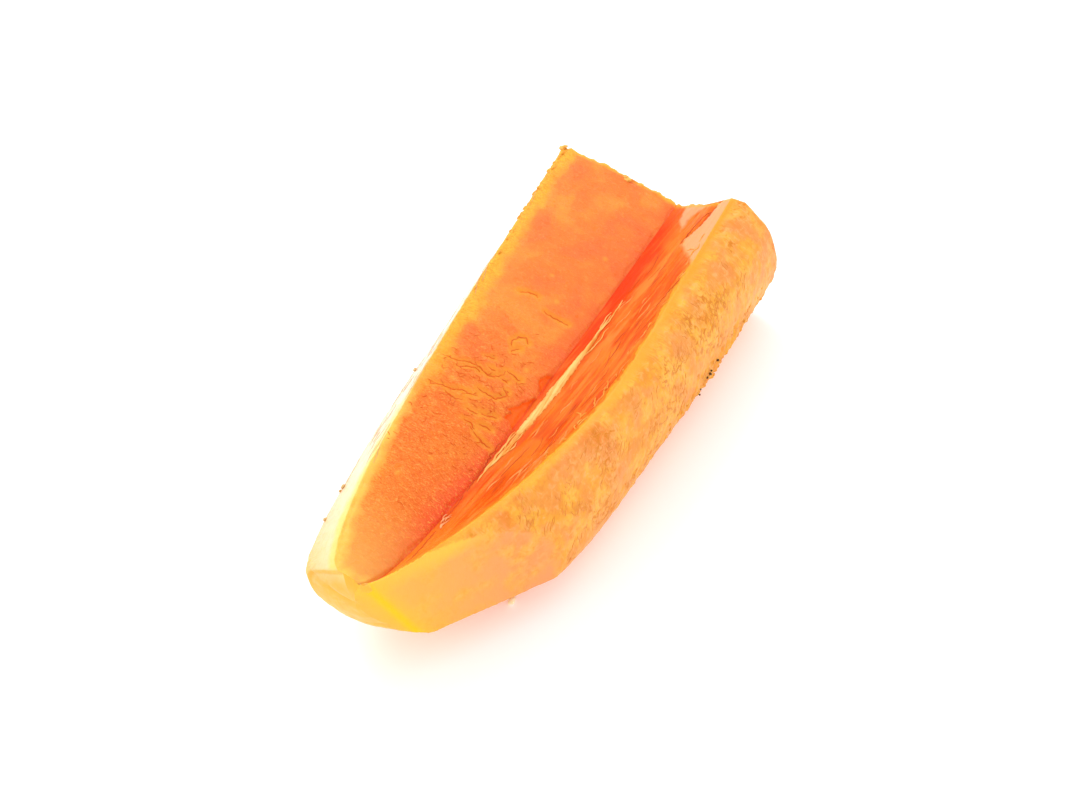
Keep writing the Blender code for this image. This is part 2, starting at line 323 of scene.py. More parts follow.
# what it rests on, the last flat, looks as peeled as the rest of the side
planedMarks = np.append(flatNumbers.ravel() % len(knifeFlats) > 0, [False, False]).astype(float)
columnKinds = np.append(np.tile(kinds, rowCount), ["flank", "farCut"]).astype("U8")
rowNumbers = np.append(np.repeat(np.arange(rowCount), ringCount), [0, rowCount])
lastSection = len(noseRings) + len(sections) - 1
columnKinds[rowNumbers > lastSection] = "farCut"
columnKinds[rowNumbers < len(noseRings)] = "flank"
underSkin = nearest(skinCloud, places)
fromEdge = nearest(edgeCloud, places)
grooveLine = rows[:, firstColumn["face"]]
ridgeLine = rows[:, firstColumn["cavity"]]
fromGroove = np.full(len(places), farAway)
for column in np.flatnonzero(np.isin(kinds, ["cavity", "face"])):
    fromGroove[grid[:, column]] = np.linalg.norm(rows[:, column] - grooveLine, axis=1)
onFarCut = columnKinds == "farCut"
fromGroove[onFarCut] = nearest(sections[-1][kinds == "cavity"], places[onFarCut])

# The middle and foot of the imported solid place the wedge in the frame
low, high = places.min(axis=0), places.max(axis=0)
cadLow, cadHigh = (np.array(corner) / mm for corner in cadBounds)
shift = (cadLow + cadHigh) / 2 - (low + high) / 2
shift[2] = cadLow[2] - low[2]

faces, faceKinds = [], []
for r in range(rowCount - 1):
    for c in range(ringCount):
        d = (c + 1) % ringCount
        corners = (grid[r, c], grid[r + 1, c], grid[r + 1, d], grid[r, d])
        kind = "farCut" if r >= lastSection else kinds[c]
        if r < len(noseRings) or planedMarks[list(corners)].min() > 0:
            kind = "flank"
        faces.append(corners)
        faceKinds.append(kind)
for c in range(ringCount):
    d = (c + 1) % ringCount
    faces.append((len(places) - 2, grid[0, c], grid[0, d]))
    faces.append((len(places) - 1, grid[-1, d], grid[-1, c]))
    faceKinds += ["flank", "farCut"]

wedgeMesh = bpy.data.meshes.new("papayaWedge")
wedgeMesh.from_pydata((places + shift) * mm, [], faces)
wedgeMesh.update()
normals = np.zeros(len(places) * 3)
wedgeMesh.vertices.foreach_get("normal", normals)
normals = normals.reshape(-1, 3)
if normals[grid[rowCount // 2, 3], 1] < 0:      # a point of the left side has to face left
    wedgeMesh.flip_normals()
    normals = -normals

print("Carving the fibres, streaks and peeled mottles")
relief = {
    "rippleHeight": 0.13,     # mm, wet marks of the knife across the cut face
    "ripplePitch": 6.4,
    "rippleAt": (88, 36),     # x where they are strongest, and how far they reach from there
    "crackDepth": 0.42,       # wavy cracks across the middle of the cut face
    "crackWidth": 0.8,
    "fibreHeight": 0.1,
    "streakHeight": 0.42,     # lengthwise folds of the seed cavity wall
    "peelHeight": 0.4,        # broad marks of peeling
    "pebbleHeight": 0.16,
    "roughAt": ((150, 34), (15, 14)),           # low on the right side: middle, half width in x, and in z
    "rimRaggedness": 0.7,
    "farRaggedness": 0.7,
    "raggedReach": 1.2,       # how far in from the edges they are ragged
    "leafHeight": 0.3,        # a leaf of flesh that lies over the cavity wall near the far cut
    "lipDepth": 0.8,          # the gap along its edge
    "lipWidth": 0.7,
    # notches in the far edge: y, half width, depth
    "notches": ((10.5, 2.6, 1.5), (-21.5, 1.4, 1.3), (31.0, 3.0, 0.6)),
    "dentAt": ((163.5, 2.2), (22.7, 4.5)),      # on the right side, given as the rough patch is
    "dentDepth": 0.9,
}

# Grain of each pattern of relief: its size in mm along x, y and z, octaves of finer grain, seed
grains = {
    "knifeBend": ((14, 20, 20), 1, 0.0),
    "sideBend": ((20, 16, 16), 1, 0.0),
    "fibre": ((1.3, 9, 9), 2, 3.1),
    "streak": ((38, 2.0, 2.0), 3, 8.3),
    "peel": ((42, 11, 11), 1, 5.7),
    "scrape": ((9, 9, 9), 2, 0.7),
    "pebble": ((2.1, 2.6, 2.6), 3, 1.9),
    "ragged": ((2.6, 2.4, 2.4), 3, 6.6),
    "crumb": ((0.45, 0.45, 0.45), 2, 0.0),      # in lengths of the crumb, each with a seed of its own
}

# (x, y) around the leaf, and around the facet beside it
leafOutline = [(201, -20.6), (194, -20.9), (185.6, -19.2), (178.9, -16.4), (175, -16.6),
               (169.1, -20.5), (160, -26.5), (201, -27)]
facetOutline = [(201, -8.8), (190.6, -10.3), (182.6, -13.7), (191.5, -13.9), (201, -17.8)]

# Where the foot of the cut face has torn away
chipOutlines = (
    [(105.4, -2.4), (103.4, -0.4), (101.0, 0.5), (98.6, 0.0), (97, -1.6), (98.3, -3.8), (104, -4)],
    [(93.8, -2.6), (93.0, -0.9), (90.3, 0.4), (87.6, 1.3), (85.6, 2.6), (83.8, 4.2), (84.0, 2.3), (80.8, 3.4),
     (80.4, 1.2), (79.0, -0.6), (82, -4), (90.3, -4)])

# Wavy cracks across the middle of the cut face, as (x, y)
crackPaths = (
    [(89.3, 28.8), (89.5, 25.6), (90.0, 23.4), (91.4, 21.6), (91.8, 19.3), (92.0, 17.8), (91.3, 15.8),
     (90.8, 13.9), (91.5, 12.2), (93.9, 10.4), (95.6, 10.1)],
    [(87.6, 22.6), (90.0, 20.0), (91.1, 17.3), (90.3, 16.1)], [(92.6, 10.2), (92.5, 7.7)],
    [(96.9, 18.1), (97.5, 16.3), (97.8, 14.8)], [(93.8, 14.9), (93.4, 12.7)],
    [(96.2, 8.7), (95.7, 6.8), (95.6, 5.1)],
    [(77.0, 26.1), (78.6, 23.3), (78.8, 20.9), (80.1, 18.7), (80.8, 16.3), (81.1, 14.0), (81.9, 12.7)],
    [(76.9, 21.1), (76.5, 18.1), (77.8, 15.5)],
    [(84.4, 13.6), (84.4, 10.7), (84.3, 8.7), (86.5, 6.9), (89.3, 6.2), (89.1, 7.3)],
    [(71.9, 12.6), (71.9, 10.2), (70.8, 8.4)], [(75.8, 13.7), (75.7, 11.3), (75.9, 9.8)],
    [(76.8, 9.4), (78.1, 6.8), (79.0, 4.8)], [(73.0, 8.3), (73.8, 6.3), (74.0, 4.4)],
    [(69.4, 8.1), (68.5, 4.5), (68.3, 2.1)],
    [(106.1, 13.0), (107.7, 13.8), (110.0, 12.8), (111.7, 10.6), (110.0, 9.0)],
    [(103.5, 12.2), (105.1, 11.7), (106.3, 10.4)],
    [(127.3, 20.6), (128.8, 18.3), (129.4, 16.4), (129.2, 14.6)],
    [(125.0, 10.5), (124.9, 7.0), (125.5, 2.6)])

x, y, z = places.T
isFace = columnKinds == "face"
isCavity = columnKinds == "cavity"
isFlank = np.isin(columnKinds, ["flank", "ridge"])
middleOfFace = swell(x, *relief["rippleAt"])

bend = 1.6 * np.sin(y / 7) + 0.15 * y + 2.6 * grainAt(places, *grains["knifeBend"])
ripples = np.sin(2 * pi * (x + bend) / relief["ripplePitch"])
sideBend = 0.35 * y + 2 * grainAt(places, *grains["sideBend"])
sideRipples = np.sin(2 * pi * (z + sideBend) / relief["ripplePitch"])
fibres = grainAt(places, *grains["fibre"])
crackCloud = np.pad(np.vstack([tracePoints(path) for path in crackPaths]), ((0, 0), (0, 1)))
fromCrack = np.full(len(places), farAway)
fromCrack[isFace] = nearest(crackCloud, places[isFace] * (1, 1, 0))
alongWall = places + np.outer(x, (0, 0.13, 0))      # straight along the middle of the cavity wall
streaks = grainAt(alongWall, *grains["streak"])
peel = grainAt(places, *grains["peel"]) + 0.3 * grainAt(places, *grains["scrape"])
pebbles = grainAt(places, *grains["pebble"])
ragged = grainAt(places, *grains["ragged"])
roughAlong, roughUp = (swell(along, *where) for along, where in zip((x, z), relief["roughAt"]))
roughPatch = (0.35 + roughAlong) * roughUp * (y < 0) * smoothStep(x, 70, 100)
wavering = places + 0.5 * np.stack([ragged, pebbles, 0 * x], axis=1)
offPatch = 9.0      # mm, for points on another surface
intoLeaf = np.where(isCavity, intoPatch(wavering, leafOutline), -offPatch)
intoFacet = np.where(isCavity, intoPatch(wavering, facetOutline), -offPatch)
intoChip = np.max([intoPatch(wavering, outline) for outline in chipOutlines], axis=0)
isLeaf = smoothStep(intoLeaf, -0.2, 0.9)

# What all of that adds up to, in mm out of the surface
rise = isFace * relief["rippleHeight"] * (0.3 + middleOfFace) * ripples * smoothStep(fromGroove, 2, 8)
rise -= relief["crackDepth"] * np.exp(-(fromCrack / relief["crackWidth"]) ** 2)
rise -= isFace * wedge["footStep"] * smoothStep(intoChip, -0.5, 0.4)
rise += isFace * relief["fibreHeight"] * fibres * (1.3 - smoothStep(x, 70, 120))
rise += isFace * 0.6 * relief["pebbleHeight"] * pebbles
rise += isCavity * relief["streakHeight"] * streaks * smoothStep(fromGroove, 0.4, 3) * (1 - 0.7 * isLeaf)
rise += relief["leafHeight"] * isLeaf + 0.5 * relief["leafHeight"] * smoothStep(intoFacet, -0.3, 0.8)
lipShare = np.exp(-((intoLeaf + 0.5) / relief["lipWidth"]) ** 2) * smoothStep(x, 174, 181)
rise -= isCavity * relief["lipDepth"] * lipShare * smoothStep(fromEdge, 0.5, 2)
rise += isFlank * relief["peelHeight"] * peel * (1 - 0.6 * planedMarks) * smoothStep(z, 0, 6)
rise += isFlank * relief["pebbleHeight"] * pebbles * (1 - 0.6 * planedMarks) * (1 + 6 * roughPatch)
rise += isFace * relief["rimRaggedness"] * ragged * np.exp(-fromEdge / relief["raggedReach"])
rise += onFarCut * (0.7 * relief["pebbleHeight"] * pebbles + relief["rippleHeight"] * sideRipples)
farEdge = np.exp(-(wedge["length"] - x) / relief["raggedReach"]) * (isFace | isCavity)
rise += relief["farRaggedness"] * ragged * farEdge
for notchY, notchHalf, notchDepth in relief["notches"]:
    rise -= notchDepth * swell(y, notchY, notchHalf) * farEdge
dent = [swell(along, *where) for along, where in zip((x, z), relief["dentAt"])]
rise -= relief["dentDepth"] * dent[0] * dent[1] * (y < 0)
settled = places + shift + normals * rise[:, None]
settled[:, 2] = np.maximum(settled[:, 2], 0)      # nothing goes below the floor
wedgeMesh.vertices.foreach_set("co", (settled * mm).ravel())
wedgeMesh.update()

# The materials read how far each point is from what tints it, in mm
# how far points of the planed flats are from the creases between the knife flats, which places a painted
# highlight
fromBig, fromNarrow = (np.abs(aboveFlat(places, knifeFlats[number])) for number in (0, 2))
onCrease = np.where(planedMarks > 0, np.maximum(fromBig, fromNarrow), offPatch)
for name, values in (("underSkin", underSkin), ("fromGroove", fromGroove), ("fromEdge", fromEdge),
                     ("planed", planedMarks), ("intoChip", intoChip), ("fromCrack", fromCrack),
                     ("intoLeaf", intoLeaf), ("intoFacet", intoFacet), ("onCrease", onCrease),
                     ("facingLeft", normals[:, 1]), ("onFarCut", onFarCut)):
    layer = wedgeMesh.attributes.new(name, "FLOAT", "POINT")
    layer.data.foreach_set("value", values.astype(np.float32))


def addNode(tree, kind, settings=None, links=None):
    # a node with its settings and what it is fed from, by the name or number of the socket
    node = tree.nodes.new(kind)
    for key, value in (settings or {}).items():
        if key == "stops":
            fillRamp(node.color_ramp.elements, value)
        elif isinstance(key, str) and hasattr(node, key):
            setattr(node, key, value)
        else:
            node.inputs[key].default_value = value
    for key, output in (links or {}).items():
        tree.links.new(output, node.inputs[key])
    return node


def fillRamp(elements, stops):
    # stops are (place, hex colour) from left to right
    while len(elements) < len(stops):
        elements.new(0.5)
    for element, (place, colour) in zip(elements, stops):
        element.position = place
        element.color = srgb(colour)


def perMm(*sizes):
    # grains of these sizes in mm as the scale that a texture takes in metres
    scales = tuple(1 / (size * mm) for size in sizes)
    return scales if len(scales) > 1 else scales[0]


flesh = {
    "ior": 1.36,              # water with some sugar in it
    "roughness": 0.34,
    "specular": 0.25,
    "subsurface": 0.35,
    "scatter": 5.0,           # mm that red light travels inside
    "scatterShares": (1.0, 0.32, 0.1),      # red, and then green and blue, which stop sooner
    "wetRoughness": (0.22, 0.46),           # of the cut face, between its wetter and drier spots
}


def startFlesh(name, specular=flesh["specular"], subsurface=flesh["subsurface"]):
    # What all the flesh shares: soft wet gloss, and light that glows through it. It also hands over the
    # function that adds its nodes, and the place on the part that its patterns are laid by, in metres.
    material = bpy.data.materials.new(name)
    material.use_nodes = True
    tree = material.node_tree
    shader = tree.nodes["Principled BSDF"]
    shader.inputs["IOR"].default_value = flesh["ior"]
    shader.inputs["Metallic"].default_value = 0.0
    shader.inputs["Roughness"].default_value = flesh["roughness"]
    shader.inputs["Specular IOR Level"].default_value = specular
    shader.inputs["Subsurface Weight"].default_value = subsurface
    shader.inputs["Subsurface Radius"].default_value = flesh["scatterShares"]
    shader.inputs["Subsurface Scale"].default_value = flesh["scatter"] * mm
    add = partial(addNode, tree)
    return material, add, add("ShaderNodeTexCoord").outputs["Object"]


def endFlesh(material, add, colour, height, strength, depth):
    # the colour of the surface, and its finest relief, up to depth in mm
    tree = material.node_tree
    bump = add("ShaderNodeBump", {"Strength": strength, "Distance": depth * mm}, {"Height": height})
    tree.links.new(colour, tree.nodes["Principled BSDF"].inputs["Base Color"])
    tree.links.new(bump.outputs["Normal"], tree.nodes["Principled BSDF"].inputs["Normal"])
    return material


def paintOver(add, colour, layers):
    # Tints laid over a colour one by one: the tint, the value that places it, where that value starts
    # and ends it, and how much of it shows at the end, as a number or as another value.
    for tint, value, start, end, most in layers:
        settings, links = {"From Min": start, "From Max": end}, {"Value": value}
        (links if isinstance(most, bpy.types.NodeSocket) else settings)["To Max"] = most
        share = add("ShaderNodeMapRange", settings, links).outputs[0]
        colour = add("ShaderNodeMix", {"data_type": "RGBA", "B": srgb(tint)},
                     {"Factor": share, "A": colour}).outputs["Result"]
    return colour


def slicedFlesh():
    # Ripe papaya flesh cut with a knife: wet, orange, yellow at the rim and redder at the seeds.
    # Fine fibres run across the cut, with pale yellow dots, and ochre around the cracks. The real fibres
    # are too fine to show, so they are drawn 0.45 mm wide.
    material, add, coords = startFlesh("papayaFleshKnifeCut")
    along = add("ShaderNodeSeparateXYZ", links={"Vector": coords}).outputs["X"]      # metres from the middle
    skin, groove, chip, crack, farCut = (
        add("ShaderNodeAttribute", {"attribute_name": name}).outputs["Fac"]
        for name in ("underSkin", "fromGroove", "intoChip", "fromCrack", "onFarCut"))
    cloud, patch, speckle, fibre, wet = (
        add("ShaderNodeTexNoise", {"Scale": 1.0, "Detail": detail, "Distortion": warp},
            {"Vector": add("ShaderNodeMapping", {"Scale": perMm(*size)}, {"Vector": coords}).outputs[0]}
            ).outputs["Fac"]
        for size, detail, warp in (      # size in mm
            ((8, 8, 8), 4.0, 0.0), ((16, 16, 16), 3.0, 0.6), ((1.1, 1.1, 1.1), 2.0, 0.0),
            ((0.45, 1.2, 1.2), 2.0, 1.6), ((3, 3, 3), 2.0, 0.0)))
    dots = add("ShaderNodeTexVoronoi", {"Scale": perMm(10)}, {"Vector": coords}).outputs["Distance"]
    # borders that wander: under the skin, around the seeds and the cracks, and at the far edge
    depth, seedReach, crackReach, farEdge = (
        add("ShaderNodeMath", {"operation": "MULTIPLY_ADD", 1: reach}, {0: grain, 2: away}).outputs[0]
        for grain, reach, away in ((cloud, 7.0, skin), (cloud, 9.0, groove), (patch, 4.0, crack),
                                   (cloud, 0.004, along)))
    # how strong the red, the fibres and the yellow rim are along the wedge
    redPower, fibrePower, rimPower, farRimPower, facePower = (
        add("ShaderNodeMapRange", {"From Min": start, "From Max": end, "To Min": least, "To Max": most},
            {"Value": value}).outputs[0]
        for value, start, end, least, most in (
            (along, 0.0, -0.05, 0.3, 0.9), (along, 0.025, -0.02, 0.3, 0.9),
            (along, -0.005, -0.05, 0.0, 1.0), (along, -0.035, 0.01, 0.0, 0.85),
            (farCut, 0.0, 1.0, 1.0, 0.0)))
    rimFibres = add("ShaderNodeMapRange", {"From Min": 10.0, "From Max": 6.0},
                    {"Value": depth, "To Max": farRimPower}).outputs[0]
    depthShare = add("ShaderNodeMapRange", {"From Min": 3.5, "From Max": 16.5}, {"Value": depth}).outputs[0]
    colour = add("ShaderNodeValToRGB", {"stops": [
        (0.0, "#EDB436"), (0.2, "#E79E28"), (0.36, "#E9963A"), (0.5, "#E88238"), (1.0, "#E57832")]},
        {"Fac": depthShare}).outputs["Color"]
    colour = paintOver(add, colour, (
        ("#E86A38", patch, 0.52, 0.64, 0.65),
        ("#E9943A", patch, 0.48, 0.36, 0.65),
        ("#E8984E", speckle, 0.56, 0.72, 0.4),
        ("#E4701E", along, 0.01, -0.03, 0.6),
        ("#EE4E34", groove, 7.5, 0.5, redPower),
        ("#DA621A", fibre, 0.48, 0.36, fibrePower),
        ("#ECA04A", fibre, 0.55, 0.68, fibrePower),
        ("#E8902A", crackReach, 3.9, 2.4, 0.8),
        ("#F0A63E", dots, 0.14, 0.04, 0.5),
        ("#E2A04C", along, -0.066, -0.092, 0.8),
        ("#EBB850", depth, 7.5, 4.5, rimPower),
        ("#F0B03A", depth, 8.6, 5.6, farRimPower),
        ("#D88A22", fibre, 0.52, 0.4, rimFibres),
        ("#EDA638", farEdge, 0.0985, 0.1002, facePower),
        ("#E86A34", seedReach, 15.0, 4.0, farCut),
        ("#FA6C1C", chip, -0.25, 0.1, 1.0),
        # a thin darker red line along the groove, partly painted shade where the cut face meets the cavity
        # wall
        ("#E64A24", groove, 0.4, 0.1, 0.6)))
    wetter, drier = flesh["wetRoughness"]
    gloss = add("ShaderNodeMapRange", {"From Min": 0.3, "From Max": 0.7, "To Min": wetter, "To Max": drier},
                {"Value": wet})
    tree = material.node_tree
    tree.links.new(gloss.outputs[0], tree.nodes["Principled BSDF"].inputs["Roughness"])
    return endFlesh(material, add, colour, fibre, 0.6, 0.3)


def cavityFlesh():
    # The wall of the seed cavity, torn clean of seeds: saturated orange with lengthwise streaks, red beside
    # the groove, partly as painted shade deep in the cavity, and a leaf of pale flesh near the far cut, with
    # a painted sheen on it and on the facet beside it and a painted shadow along its edge. Torn flesh is less
    # shiny.
    material, add, coords = startFlesh("papayaFleshSeedCavity", specular=0.1)
    along = add("ShaderNodeSeparateXYZ", links={"Vector": coords}).outputs["X"]
    alongWall = add("ShaderNodeMapping", {"Rotation": (0.0, 0.0, radians(7.5))},      # as the wall runs
                    {"Vector": coords}).outputs[0]
    groove, edge, leaf, facet = (
        add("ShaderNodeAttribute", {"attribute_name": name}).outputs["Fac"]
        for name in ("fromGroove", "fromEdge", "intoLeaf", "intoFacet"))
    streak, fold, patch, cloud = (
        add("ShaderNodeTexNoise", {"Scale": 1.0, "Detail": detail, "Distortion": warp},
            {"Vector": add("ShaderNodeMapping", {"Scale": perMm(*size)}, {"Vector": alongWall}).outputs[0]}
            ).outputs["Fac"]
        for size, detail, warp in (
            ((22, 1.5, 1.5), 4.0, 0.9), ((34, 4, 4), 3.0, 0.6), ((18, 18, 18), 2.0, 0.0),
            ((4, 4, 4), 4.0, 0.0)))
    rim = add("ShaderNodeMath", {"operation": "MULTIPLY_ADD", 1: 5.0}, {0: cloud, 2: edge}).outputs[0]
    lipAway = add("ShaderNodeMath", {"operation": "ADD", 1: 0.45}, {0: leaf}).outputs[0]
    fromLipShadow = add("ShaderNodeMath", {"operation": "ABSOLUTE"}, {0: lipAway}).outputs[0]
    # how strong the red strip and the red seam, both partly painted shade, and the painted shadow along the
    # edge of the leaf are along the wedge
    shadedStripPower, shadedSeamPower, lipShadowPower = (
        add("ShaderNodeMapRange", {"From Min": start, "From Max": end, "To Min": least, "To Max": most},
            {"Value": along}).outputs[0]
        for start, end, least, most in (
            (-0.01, 0.03, 0.3, 0.95), (0.0, -0.03, 0.0, 0.8), (0.074, 0.08, 0.0, 1.0)))
    colour = add("ShaderNodeValToRGB", {"stops": [
        (0.3, "#D24608"), (0.44, "#DC560E"), (0.55, "#E06614"), (0.64, "#E57A2C"), (0.74, "#E98E4A")]},
        {"Fac": streak}).outputs["Color"]
    colour = paintOver(add, colour, (
        # red seam beside the groove, partly painted shade in the fold of the groove
        ("#DE4A20", groove, 3.5, 0.8, shadedSeamPower),
        ("#E88E3C", fold, 0.55, 0.66, 0.5),
        ("#CE4608", fold, 0.45, 0.36, 0.7),
        ("#E27A20", patch, 0.5, 0.62, 0.6),
        # red strip beside the groove: red flesh near the seeds, and partly painted shade where the cavity is
        # deepest
        ("#DA3602", groove, 8.0, 2.5, shadedStripPower),
        ("#E0661C", streak, 0.53, 0.7, 0.6),
        ("#E07A1C", rim, 5.4, 4.4, 0.85),      # the foot of the ridge, dark, then ochre above it
        ("#CC6412", rim, 4.2, 3.8, 0.8),
        ("#E09428", rim, 3.8, 3.3, 1.0),
        ("#E8882C", along, -0.06, -0.085, 0.8),
        ("#E27A30", along, 0.082, 0.098, 0.5),
        # pale pink of the facet and the leaf: a painted sheen of wet flesh that faces up, over the leaf's own
        # paler flesh
        ("#E09A6C", facet, 0.0, 0.9, 0.95),
        ("#E59C66", leaf, -0.3, 1.2, 1.0),
        # painted shadow along the edge of the leaf, where it overhangs the wall
        ("#BC541A", fromLipShadow, 0.6, 0.2, lipShadowPower),
        ("#EDA638", along, 0.0963, 0.098, 0.6)))
    return endFlesh(material, add, colour, streak, 0.6, 0.3)


def peeledFlesh():
    # Flesh just under the peel, shaved with a knife: yellow and pink-orange mottles, hair-like veins in
    # patches, bright yellow at the rims and the nose, and painted highlights: yellow along the creases of the
    # nose, and almost white below the left rim, where the side facing left is painted as if in strong light.
    # The real veins are too fine to show, so they are drawn 0.9 mm wide.
    material, add, coords = startFlesh("papayaFleshPeeled")
    axes = add("ShaderNodeSeparateXYZ", links={"Vector": coords}).outputs
    edge, planed, creaseHighlight, facingLeft = (
        add("ShaderNodeAttribute", {"attribute_name": name}).outputs["Fac"]
        for name in ("fromEdge", "planed", "onCrease", "facingLeft"))
    mottle, hair, hairPatch, longFibre, flatPatch, speckle = (
        add("ShaderNodeTexNoise", {"Scale": 1.0, "Detail": detail, "Distortion": warp},
            {"Vector": add("ShaderNodeMapping", {"Scale": perMm(*size)}, {"Vector": coords}).outputs[0]}
            ).outputs["Fac"]
        for size, detail, warp in (
            ((13, 13, 13), 6.0, 0.3), ((0.9, 5, 5), 3.0, 1.8), ((15, 15, 15), 3.0, 0.0),
            ((9, 0.7, 0.7), 3.0, 0.0), ((9, 9, 9), 5.0, 0.0), ((1.8, 1.8, 1.8), 3.0, 0.8)))
    rim = add("ShaderNodeMath", {"operation": "MULTIPLY_ADD", 1: 5.0}, {0: mottle, 2: edge}).outputs[0]
    farPower = add("ShaderNodeMapRange", {"From Min": -0.04, "From Max": 0.05, "To Max": 0.6},
                   {"Value": axes["X"]}).outputs[0]
    # painted highlight: where the side faces left it is painted almost white near the rim, as if lit strongly
    # from the left
    litFromLeft = add("ShaderNodeMapRange", {"From Min": 0.35, "From Max": 0.6},
                   {"Value": facingLeft}).outputs[0]
    pale = add("ShaderNodeMapRange", {"From Min": 22.0, "From Max": 9.0},
               {"Value": rim, "To Max": litFromLeft}).outputs[0]
    noseLitPale = add("ShaderNodeMapRange", {"From Min": -0.02, "From Max": -0.055},
                   {"Value": axes["X"], "To Max": pale}).outputs[0]
    # no veins where the side is painted pale as a highlight, and hardly any where a knife has planed the
    # flesh flat
    notLitPale = add("ShaderNodeMath", {"operation": "SUBTRACT", 0: 1.0}, {1: pale}).outputs[0]
    bare = add("ShaderNodeMapRange", {"To Max": 0.1}, {"Value": planed, "To Min": notLitPale}).outputs[0]
    hairPower = add("ShaderNodeMapRange", {"From Min": 0.38, "From Max": 0.54},
                    {"Value": hairPatch, "To Max": bare}).outputs[0]
    stipplePower = add("ShaderNodeMapRange", {"From Min": 0.52, "From Max": 0.6},
                       {"Value": hairPatch, "To Max": bare}).outputs[0]
    # yellow areas low on the far half
    yellowPatch = add("ShaderNodeMapRange", {"From Min": 0.38, "From Max": 0.52, "To Max": 0.85},
                      {"Value": hairPatch}).outputs[0]
    yellowPower = add("ShaderNodeMapRange", {"From Min": -0.014, "From Max": 0.004},
                      {"Value": axes["X"], "To Max": yellowPatch}).outputs[0]
    # the planed flat turns yellow towards the nose, and blends into the rest behind it
    noseFlat = add("ShaderNodeMapRange", {"From Min": -0.035, "From Max": -0.07},
                   {"Value": axes["X"], "To Max": planed}).outputs[0]
    colour = add("ShaderNodeValToRGB", {"stops": [
        (0.34, "#E2902A"), (0.43, "#E9A032"), (0.49, "#E99A3E"), (0.56, "#E99850"), (0.66, "#E2842C")]},
        {"Fac": mottle}).outputs["Color"]
    colour = paintOver(add, colour, (
        ("#EAA41E", axes["Z"], 0.045, 0.038, yellowPower),
        ("#F0B440", flatPatch, 0.49, 0.39, 0.7),
        ("#E58E48", flatPatch, 0.52, 0.62, 0.6),
        ("#E8A258", planed, 0.0, 1.0, 0.3),
        ("#E6A250", noseFlat, 0.0, 1.0, 0.5),
        ("#DE8A34", speckle, 0.48, 0.34, 0.7),
        ("#EEB068", speckle, 0.54, 0.68, 0.6),
        ("#E89E2A", axes["Z"], 0.024, 0.01, 0.75),
        # the painted highlight of the left side
        ("#EFDCC6", pale, 0.0, 1.0, 1.0),
        ("#ECCFBE", noseLitPale, 0.0, 1.0, 0.8),
        ("#D8B488", longFibre, 0.47, 0.36, pale),
        ("#E4985C", flatPatch, 0.38, 0.6, planed),
        ("#E09038", hair, 0.46, 0.37, hairPower),
        ("#EAA658", hair, 0.56, 0.7, hairPower),
        ("#D67C18", speckle, 0.48, 0.38, stipplePower),
        ("#E9A63A", rim, 5.6, 3.4, 0.8),
        ("#E0901E", rim, 6.0, 3.4, farPower),
        ("#EDBC46", rim, 10.0, 5.0, noseFlat),
        ("#EBB640", axes["X"], -0.06, -0.096, 0.8),
        # more of the painted highlight at the left of the nose
        ("#ECD4A6", noseLitPale, 0.0, 1.0, 0.6),
        ("#EDCC68", rim, 7.2, 4.6, noseLitPale),
        # painted highlight along the creases where the knife flats of the nose meet
        ("#F0BC2C", creaseHighlight, 1.4, 0.3, 0.6),
        ("#F2BE12", creaseHighlight, 0.5, 0.1, 1.0)))
    return endFlesh(material, add, colour, hair, 0.5, 0.25)


print("Making the flesh materials")
wedgePiece = putInScene("papayaWedge", wedgeMesh)
slots = {"face": 0, "farCut": 0, "cavity": 1, "ridge": 2, "flank": 2}
for material in (slicedFlesh(), cavityFlesh(), peeledFlesh()):
    wedgeMesh.materials.append(material)
wedgeMesh.polygons.foreach_set("material_index", [slots[kind] for kind in faceKinds])
wedgeMesh.polygons.foreach_set("use_smooth", [True] * len(faceKinds))
wedgeMesh.update()
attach(wedgePiece, "root")
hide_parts("papaya_wedge")


print("Getting ready to lay loose flesh on the wedge")
wedgeTree = BVHTree.FromPolygons([Vector(point) for point in settled], [list(corners) for corners in faces])
random = np.random.default_rng(11)      # every run draws the same numbers


def groundAt(x, y):
    # the spot on top of the wedge above a place, and the way it faces
    for nudge in (0.0, 0.02, -0.02):      # mm aside, because a ray can slip between two faces
        above = Vector((x + shift[0] + nudge, y + shift[1] + nudge, 90))      # higher than the wedge
        hit, normal = wedgeTree.ray_cast(above, Vector((0, 0, -1)))[:2]
        if hit:
            return np.array(hit) - shift, np.array(normal)
    return np.array((x, y, 0.2)), np.array((0, 0, 1))      # beside the wedge, on the floor


def seatOn(place):
    # the nearest spot on the wedge, a little outside its skin
    hit, normal = wedgeTree.find_nearest(Vector(place) + Vector(shift))[:2]
    return np.array(hit + 0.3 * normal) - shift


def unevenness(xs, pitch, row, depth=0.0):
    # smooth chance numbers along a row of x, about -1 to 1, with a hump every pitch mm
    return np.array([noise.noise(Vector((x / pitch, row, depth))) for x in xs])


def wander(start, heading, reach, waver, bend):
    # spots on the wedge and the way they face, along a path that curls as it goes
    path, spot, ahead = [], Vector(start), Vector(heading)
    for turn in range(max(4, int(reach / pathStep))):
        hit, normal = wedgeTree.find_nearest(spot)[:2]
        ahead = (ahead - normal * ahead.dot(normal)).normalized()
        ahead.rotate(Quaternion(normal, random.normal(bend, waver)))
        path.append((np.array(hit) - shift, np.array(normal)))
        spot = hit + ahead * pathStep
    return path


def trace(corners, waver):
    # the same along a line of corners, with a slight waver
    path = []
    for x, y in tracePoints(corners):
        asideX, asideY = (waver * noise.noise(Vector((x, y, row))) for row in (2.2, 8.1))
        path.append(groundAt(x + asideX, y + asideY))
    return path


